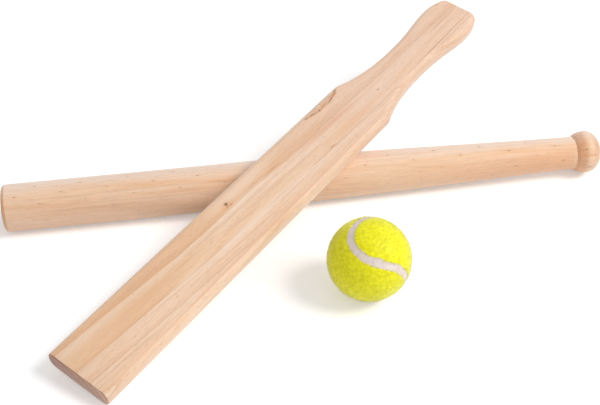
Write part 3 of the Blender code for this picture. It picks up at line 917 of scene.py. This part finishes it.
def turned_pine(place):
    """Turned, sanded pine: soft bands along the grain, fibres, needle traces, end grain and painted
    shade and reflection.
    """
    material, tree = start_material("turned_pine")
    mm = in_bat_millimetres(tree, place)
    axes = add_node(tree, "SeparateXYZ", {"Vector": mm}).node.outputs
    near_side = add_node(tree, "Math", {0: axes["Y"], 1: -1.0}, operation="MULTIPLY")
    turn = add_node(tree, "Math", {0: near_side, 1: axes["Z"]}, operation="ARCTAN2")
    turn = add_node(tree, "Math", {0: turn}, operation="DEGREES")
    spoke = add_node(tree, "CombineXYZ", {"Y": axes["Y"], "Z": axes["Z"]})
    radius = add_node(tree, "VectorMath", {0: spoke}, out="Value", operation="LENGTH")

    # The lathe only grazes the rings along the bat, so they show there as soft bands
    band = grain(tree, mm, BAND_SIZE, 3.0)
    wood = add_node(tree, "ValToRGB", {"Fac": band}, stops=BAND_COLOURS)

    # Heartwood, warmer towards the handle, and a paler top at the back, which is a painted
    # reflection of the white surroundings at grazing angles, both only in the stem's outer part
    outwards = add_node(tree, "VectorMath", {0: spoke}, operation="NORMALIZE")
    outer = add_node(tree, "MapRange", {"Value": radius, "From Min": 6.0, "From Max": 13.0})
    below_knob = add_node(tree, "MapRange", {
        "Value": axes["X"], "From Min": 492.0, "From Max": 484.0,
    })
    heart_room = add_node(tree, "Math", {0: outer, 1: below_knob}, operation="MULTIPLY")
    to_handle = add_node(tree, "MapRange", {
        "Value": axes["X"], "From Min": 320.0, "From Max": 450.0,
    })
    heart_colour = add_node(tree, "Mix", {
        SHARE: to_handle, FIRST: linear("#eac5a9"), SECOND: linear("#e2a477"),
    }, **IN_COLOUR)
    for side_turn, start, full, strength, room, colour in (
        (HEARTWOOD_TURN, 0.6, 0.95, 0.6, heart_room, heart_colour),
        # Painted reflection: a paler top at the back stands for the white surroundings at grazing
        # angles
        (PAINTED_REFLECTION_TURN, 0.45, 0.78, 0.65, outer, linear("#f4dfd0")),
    ):
        share = add_node(tree, "VectorMath", {
            0: outwards, 1: (0, math.sin(side_turn), math.cos(side_turn)),
        }, out="Value", operation="DOT_PRODUCT")
        share = add_node(tree, "MapRange", {
            "Value": share, "From Min": start, "From Max": full, "To Max": strength,
        })
        share = add_node(tree, "Math", {0: share, 1: room}, operation="MULTIPLY")
        wood = add_node(tree, "Mix", {SHARE: share, FIRST: wood, SECOND: colour}, **IN_COLOUR)
    wood = stain(tree, wood, mm, *STEM_LINES)
    wood = stain(tree, wood, mm, *STEM_CANALS)
    fibre = grain(tree, mm, FIBRE_SIZE, FIBRE_DETAIL)
    wood = shade_fibres(tree, wood, fibre, 0.93, 1.06)

    # The flecks are fainter on the barrel's near side
    flecks = needle_traces(tree, axes["X"], turn, radius)
    clear = add_node(tree, "MapRange", {
        "Value": turn, "From Min": 25.0, "From Max": 70.0, "To Min": 1.0, "To Max": 0.45,
    })
    clear = add_node(tree, "Math", {0: clear, 1: to_handle}, operation="MAXIMUM")
    flecks = add_node(tree, "Math", {0: flecks, 1: clear}, operation="MULTIPLY")
    wood = add_node(tree, "Mix", {
        SHARE: flecks, FIRST: wood, SECOND: linear("#94552b"),
    }, **IN_COLOUR)
    wood = cut_and_shade_stem(tree, wood, place, mm, spoke)
    sand(tree, wood, fibre, 0.34, 0.46, 0.2)
    return material


turned.data.materials.append(turned_pine(round_place))
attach(turned, "round_bat")
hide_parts("round_bat")
print("round bat dressed with", len(turned.active_material.node_tree.nodes), "nodes")

# %% [markdown]
# ## The ball's seam line
#
# A ball of this kind is covered by two like dumbbells of felt. Their common edge is one closed
# wave that goes twice up and down the ball, and a strip of pale cement fills the gap between them.
# One formula gives the wave. Both panels and the strip measure from it, so they fit one another.
# On the real ball the gap's width wavers, at one place the felt's edge has a nick, and a little
# further on the whole seam dips.

# %% Seam formula
SEAM_WAVE = 0.16
SEAM_WIDTH = 0.0058
SEAM_NUDGE = 1e-4


def seam_point(turn):
    """Unit directions of the seam's middle line at an array of turns."""
    main = 1 - SEAM_WAVE
    return np.stack((
        main * np.cos(turn) + SEAM_WAVE * np.cos(3 * turn),
        main * np.sin(turn) - SEAM_WAVE * np.sin(3 * turn),
        2 * math.sqrt(main * SEAM_WAVE) * np.sin(2 * turn),
    ), axis=-1)


def unit(vectors):
    """Vectors scaled to length 1."""
    return vectors / np.linalg.norm(vectors, axis=-1, keepdims=True)


def seam_side(turn):
    """Unit directions across the seam, towards the panel round +Z."""
    ahead = seam_point(turn + SEAM_NUDGE) - seam_point(turn - SEAM_NUDGE)
    return unit(np.cross(seam_point(turn), ahead))


def beside_seam(turn, offset):
    """Unit directions at an arc length to one side of the seam."""
    angle = (offset / BALL_RADIUS)[..., None]
    return seam_point(turn) * np.cos(angle) + seam_side(turn) * np.sin(angle)


print("seam starts at", seam_point(np.array(0.0)))

# %% Edges of the felt beside the seam
SEAM_WAVER = 0.00018
LONG_WAVERS = 11
SHORT_WAVERS = 29
SHORT_WAVER_SHARE = 0.7
NICK_TURN = math.radians(348)
NICK_DEPTH = 0.0014
NICK_HALF_TURN = math.radians(4.5)
DIP_TURN = math.radians(32)
DIP_DEPTH = 0.0035
DIP_HALF_TURN = math.radians(30)
SEAM_SAMPLES = 1440
SAMPLE_CHUNK = 4000


def turn_from(turn, place):
    """Turns from a place on the seam, the shorter way round."""
    return (turn - place + math.pi) % math.tau - math.pi


def seam_edge(turn, panel):
    """Arc length from the middle line to a panel's edge: steady, a waver, one nick and one dip."""
    long_waver = np.sin(LONG_WAVERS * turn + panel)
    short_waver = SHORT_WAVER_SHARE * np.sin(SHORT_WAVERS * turn - 2 * panel)
    waver = SEAM_WAVER * (long_waver + short_waver)
    nick = 0
    if panel > 0:
        nick = NICK_DEPTH * np.exp(-(turn_from(turn, NICK_TURN) / NICK_HALF_TURN) ** 4)
    near_dip = np.clip(turn_from(turn, DIP_TURN) / DIP_HALF_TURN, -1, 1)
    dip = DIP_DEPTH * np.cos(near_dip * QUARTER_TURN) ** 2
    return SEAM_WIDTH / 2 + waver + nick - panel * dip


turns = np.linspace(0, math.tau, SEAM_SAMPLES, endpoint=False)
line = seam_point(turns)
line_side = seam_side(turns)


def across_seam(directions):
    """Signed arc length from the seam's middle line, and the turn of the nearest point on it."""
    nearest = np.concatenate([
        np.argmax(directions[start:start + SAMPLE_CHUNK] @ line.T, axis=1)
        for start in range(0, len(directions), SAMPLE_CHUNK)
    ])
    sine = np.sum(directions * line_side[nearest], axis=1)
    return np.arcsin(np.clip(sine, -1, 1)) * BALL_RADIUS, turns[nearest]


seam_length = np.linalg.norm(np.diff(line, axis=0), axis=1).sum() * BALL_RADIUS
print(f"seam {seam_length / MM:.0f} mm long")

# %% [markdown]
# ## Felt panels with a nap
#
# Felt is matted wool: a lumpy skin with a nap of short curled fibres. A bump in the material would
# leave the outline hard, and the fuzzy outline is what tells felt from rubber. So the nap is real.
# A fine ball is cut along the seam, its rim rolls down to the cement, and its skin is lumped by
# a noise. One fibre is modelled from a cone and copied thousands of times, each with its own
# root, lean, curl and length. The draws are seeded, so the felt comes out the same each time.

# %% Felt panel
FELT_THICKNESS = 0.0028
FELT_FINENESS = 7
RIM_ROLL = 0.0006
LUMP_SIZE = 0.0024
LUMP_HEIGHT = 0.00022


def rolled(inside):
    """How far the felt's surface falls near its edge, as a quarter round."""
    short = RIM_ROLL - np.clip(inside, 0, RIM_ROLL)
    return RIM_ROLL - np.sqrt(RIM_ROLL ** 2 - short ** 2)


def lumps_at(directions):
    """Noise from -1 to 1 on the ball, with lumps of the felt's size."""
    return np.array([noise.noise(Vector(way) * BALL_RADIUS / LUMP_SIZE) for way in directions])


def close_inwards(share):
    """In edit mode, pull a copy of the whole skin towards the ball's middle and close its rim."""
    bpy.ops.mesh.select_all(action="SELECT")
    bpy.ops.mesh.extrude_region_move(TRANSFORM_OT_translate={"value": (0, 0, 0)})
    bpy.ops.transform.resize(value=(share, share, share), center_override=(0, 0, 0))
    bpy.ops.mesh.select_all(action="SELECT")
    bpy.ops.mesh.normals_make_consistent(inside=False)


def felt_panel(name, panel):
    """One dumbbell of felt, cut from a fine ball along the seam and closed towards the core."""
    deselect_all()
    bpy.ops.mesh.primitive_ico_sphere_add(subdivisions=FELT_FINENESS, radius=BALL_RADIUS)
    piece = bpy.context.object
    piece.name = name
    mesh = piece.data
    directions = unit(read_points(piece))
    offset, turn = across_seam(directions)
    inside = offset * panel - seam_edge(turn, panel)

    # Points just outside the edge are drawn onto it, and faces with no point inside are cut away
    rim = beside_seam(turn, panel * seam_edge(turn, panel))
    directions = np.where(inside[:, None] > 0, directions, rim)
    radius = BALL_RADIUS - LUMP_HEIGHT - rolled(inside) + lumps_at(directions) * LUMP_HEIGHT
    write_points(piece, directions * radius[:, None])
    corners = np.empty(len(mesh.loops), dtype=np.int32)
    mesh.loops.foreach_get("vertex_index", corners)
    triangles = corners.reshape(-1, 3)
    kept = np.zeros(len(mesh.vertices), dtype=bool)
    kept[triangles[(inside[triangles] > 0).any(axis=1)]] = True
    bpy.ops.object.mode_set(mode="EDIT")
    bpy.ops.mesh.select_mode(type="VERT")
    bpy.ops.mesh.select_all(action="DESELECT")
    bpy.ops.object.mode_set(mode="OBJECT")
    mesh.vertices.foreach_set("select", ~kept)
    bpy.ops.object.mode_set(mode="EDIT")
    bpy.ops.mesh.delete(type="VERT")
    close_inwards((BALL_RADIUS - FELT_THICKNESS) / BALL_RADIUS)
    bpy.ops.object.mode_set(mode="OBJECT")
    bpy.ops.object.shade_smooth()
    return piece


panels = {
    "a": felt_panel("ball_felt_a_napped", 1),
    "b": felt_panel("ball_felt_b_napped", -1),
}
print({key: len(piece.data.polygons) for key, piece in panels.items()})

# %% One fibre
FIBRE_SIDES = 3
FIBRE_ROOT_RADIUS = 0.5
FIBRE_TIP_RADIUS = 0.2


def model_fibre():
    """One straight fibre of unit length: a thin three-sided cone with a ring in its middle."""
    deselect_all()
    bpy.ops.mesh.primitive_cone_add(
        vertices=FIBRE_SIDES, radius1=FIBRE_ROOT_RADIUS, radius2=FIBRE_TIP_RADIUS,
        depth=1, location=(0, 0, 0.5),
    )
    fibre = bpy.context.object
    bpy.ops.object.transform_apply(location=True)
    bpy.ops.object.mode_set(mode="EDIT")
    bpy.ops.mesh.bisect(plane_co=(0, 0, 0.5), plane_no=(0, 0, 1))
    bpy.ops.object.mode_set(mode="OBJECT")
    shape = read_points(fibre)
    faces = [tuple(polygon.vertices) for polygon in fibre.data.polygons]
    bpy.data.objects.remove(fibre)
    return shape, faces


fibre_shape, fibre_faces = model_fibre()
print(f"a fibre has {len(fibre_shape)} points and {len(fibre_faces)} faces")

# %% Nap of curled fibres
FIBRES_ALL_OVER = 7000
DRAWS_PER_FIBRE = 4
FIBRES_ON_RIM = 1200
RIM_BAND = 0.001
RIM_PULL = 1.5
ROOT_DEPTH = 2 * LUMP_HEIGHT
FIBRE_THICKNESS = 0.00016
FIBRE_SHORTEST = 0.0008
FIBRE_LONGEST = 0.0024
LEAN_LOWEST = math.radians(12)
LEAN_HIGHEST = math.radians(75)
CURL = 0.45
NAP_SEED = 31


def curl_fibres(panel, shape):
    """Points of all fibres of one panel, some of them hanging over its rim."""
    draw = np.random.default_rng(NAP_SEED + panel)
    all_over = unit(draw.normal(size=(FIBRES_ALL_OVER * DRAWS_PER_FIBRE, 3)))
    offset, turn = across_seam(all_over)
    all_over = all_over[offset * panel > seam_edge(turn, panel)][:FIBRES_ALL_OVER]
    turn = draw.uniform(0, math.tau, FIBRES_ON_RIM)
    inside = draw.uniform(0, RIM_BAND, FIBRES_ON_RIM)
    on_rim = beside_seam(turn, panel * (seam_edge(turn, panel) + inside))
    up = np.concatenate((all_over, on_rim))
    offset, turn = across_seam(up)
    inside = offset * panel - seam_edge(turn, panel)
    total = len(up)
    to_seam = np.where(inside < RIM_BAND, -panel * RIM_PULL, 0)[:, None] * seam_side(turn)
    across = draw.normal(size=(total, 3)) + to_seam
    across = unit(across - up * np.sum(across * up, axis=1, keepdims=True))
    lean = draw.uniform(LEAN_LOWEST, LEAN_HIGHEST, total)[:, None]
    way = across * np.cos(lean) + up * np.sin(lean)
    curl = CURL * (np.cross(up, across) * draw.normal(size=(total, 1)) - up * np.sin(lean))
    length = draw.uniform(FIBRE_SHORTEST, FIBRE_LONGEST, total)[:, None, None]
    thick_a = unit(np.cross(way, up))
    thick_b = np.cross(way, thick_a)
    root = up * (BALL_RADIUS - ROOT_DEPTH - rolled(inside))[:, None]
    x, y, z = (shape[None, :, axis, None] for axis in range(3))
    points = root[:, None] + length * (z * way[:, None] + z * z * curl[:, None])
    return points + FIBRE_THICKNESS * (x * thick_a[:, None] + y * thick_b[:, None])


def add_nap(piece, panel):
    """Join the curled copies of the fibre to one panel."""
    points = curl_fibres(panel, fibre_shape)
    faces = [
        tuple(corner + len(fibre_shape) * copy for corner in face)
        for copy in range(len(points))
        for face in fibre_faces
    ]
    mesh = bpy.data.meshes.new("nap")
    mesh.from_pydata(points.reshape(-1, 3), [], faces)
    nap = bpy.data.objects.new("nap", mesh)
    bpy.context.scene.collection.objects.link(nap)
    deselect_all()
    nap.select_set(True)
    piece.select_set(True)
    bpy.context.view_layer.objects.active = piece
    bpy.ops.object.join()
    bpy.ops.object.shade_smooth()


def press_on_floor(piece):
    """The ball's weight presses the nap flat where it touches the floor."""
    points = read_points(piece)
    points[:, 2] = np.maximum(points[:, 2], 0)
    write_points(piece, points)


for key, panel in (("a", 1), ("b", -1)):
    piece = panels[key]
    add_nap(piece, panel)
    lay_in_place(piece, ball_place)
    press_on_floor(piece)
    say(piece, "ball_felt_panel_" + key)

# %% [markdown]
# ## Felt finish
#
# Tennis-type felt is wool and nylon dyed an optic yellow, which glows a little in daylight.
# It gives back light at grazing angles, so it has sheen and little gloss. Its colour is mottled
# on the scale of the tufts, about 2 mm, from greenish yellow deep in the nap to pale yellow on top.

# %% Optic yellow felt
TUFT_SIZE = 2.4


def mottle(tree, size, detail):
    """Noise on the piece's own coordinates, with lumps of a given size in millimetres."""
    spot = add_node(tree, "TexCoord", out="Object")
    return add_node(tree, "TexNoise", {"Vector": spot, "Scale": 1 / (size * MM), "Detail": detail})


def yellow_felt():
    """Matted wool dyed optic yellow."""
    material, tree = start_material("optic_yellow_felt")
    colour = add_node(tree, "ValToRGB", {"Fac": mottle(tree, TUFT_SIZE, 1.5)}, stops=(
        (0.3, "#e6e006"), (0.5, "#f2ed0c"), (0.7, "#fcf924"),
    ))
    shader = add_node(tree, "BsdfPrincipled", {
        "Base Color": colour, "Roughness": 0.55, "Sheen Weight": 0.8, "Sheen Roughness": 0.35,
        "Sheen Tint": linear("#ffffe6"), "Specular IOR Level": 0.3,
    })
    add_node(tree, "OutputMaterial", {"Surface": shader})
    return material


felt = yellow_felt()
for key, piece in panels.items():
    piece.data.materials.append(felt)
    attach(piece, "ball")
    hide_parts("ball_felt_panel_" + key)
print("felt on", [piece.name for piece in panels.values()])

# %% [markdown]
# ## Seam strip
#
# The gap between the panels is filled with pale rubber cement, a little below the felt. It could be
# a swept curve, but its width follows both wavering edges of the felt. So a long flat grid is laid
# round the ball by the seam's formula: its length runs along the wave and its width from edge to
# edge, tucked just under the rolled rims. Then its ends are merged and it is closed inwards.
# Cured cement is matt and faintly mottled with lint.

# %% Seam strip
STRIP_STEPS = 420
STRIP_ROWS = 8
STRIP_BELOW_FELT = 0.0003
STRIP_DIP = 0.0001
STRIP_TUCK = 0.0004
STRIP_LUMP = 0.0001
STRIP_SMOOTH_TURN = math.radians(50)

deselect_all()
bpy.ops.mesh.primitive_grid_add(x_subdivisions=STRIP_STEPS, y_subdivisions=STRIP_ROWS, size=2)
strip = bpy.context.object
strip.name = "ball_seam_cement"
along, across, _ = read_points(strip).T
turn = (along + 1) * math.pi
low_edge, high_edge = [seam_edge(turn, panel) + STRIP_TUCK for panel in (-1, 1)]
directions = beside_seam(turn, -low_edge + (low_edge + high_edge) * (across + 1) / 2)
radius = BALL_RADIUS - STRIP_BELOW_FELT - STRIP_DIP * (1 - across ** 2)
radius = radius + STRIP_LUMP * lumps_at(directions)
write_points(strip, directions * radius[:, None])
bpy.ops.object.mode_set(mode="EDIT")
bpy.ops.mesh.select_all(action="SELECT")
bpy.ops.mesh.remove_doubles(threshold=TINY)
close_inwards((BALL_RADIUS - FELT_THICKNESS) / (BALL_RADIUS - STRIP_BELOW_FELT))
bpy.ops.object.mode_set(mode="OBJECT")
lay_in_place(strip, ball_place)
bpy.ops.object.shade_smooth_by_angle(angle=STRIP_SMOOTH_TURN)
say(strip, "ball_seam")

# %% Cured cement
SMUDGE_SIZE = 3.0
LINT_RELIEF = 0.1 * MM


def cured_cement():
    """Pale rubber cement, matt and faintly mottled with lint."""
    material, tree = start_material("cured_cement")
    smudge = mottle(tree, SMUDGE_SIZE, 4.0)
    colour = add_node(tree, "ValToRGB", {"Fac": smudge}, stops=(
        (0.3, "#dccbc7"), (0.55, "#e7d8d0"), (0.75, "#ece1d0"),
    ))
    bump = add_node(tree, "Bump", {"Strength": 0.3, "Distance": LINT_RELIEF, "Height": smudge})
    shader = add_node(tree, "BsdfPrincipled", {
        "Base Color": colour, "Roughness": 0.7, "Normal": bump,
    })
    add_node(tree, "OutputMaterial", {"Surface": shader})
    return material


strip.data.materials.append(cured_cement())
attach(strip, "ball")
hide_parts("ball_seam")
print("seam strip of", len(strip.data.polygons), "faces")

# %% [markdown]
# ## The core
#
# Under the felt the ball is two cups of moulded rubber. Nothing shows of them, so the solids from
# the frame are good as they are. They still get a true material: dark rubber, dusted with talc
# from the mould, for anyone who takes the ball apart.

# %% Moulded rubber
TALC_SIZE = 1.5


def moulded_rubber():
    """Dark natural rubber with a dusting of mould talc."""
    material, tree = start_material("moulded_rubber")
    talc = mottle(tree, TALC_SIZE, 3.0)
    colour = add_node(tree, "ValToRGB", {"Fac": talc}, stops=((0.4, "#332f2d"), (0.7, "#4a4542")))
    rough = add_node(tree, "MapRange", {"Value": talc, "To Min": 0.65, "To Max": 0.9})
    shader = add_node(tree, "BsdfPrincipled", {"Base Color": colour, "Roughness": rough})
    add_node(tree, "OutputMaterial", {"Surface": shader})
    return material


rubber = moulded_rubber()
for name in ("ball_core_half_a", "ball_core_half_b"):
    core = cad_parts[name]
    core.data.materials.clear()
    core.data.materials.append(rubber)
print("core halves dressed")
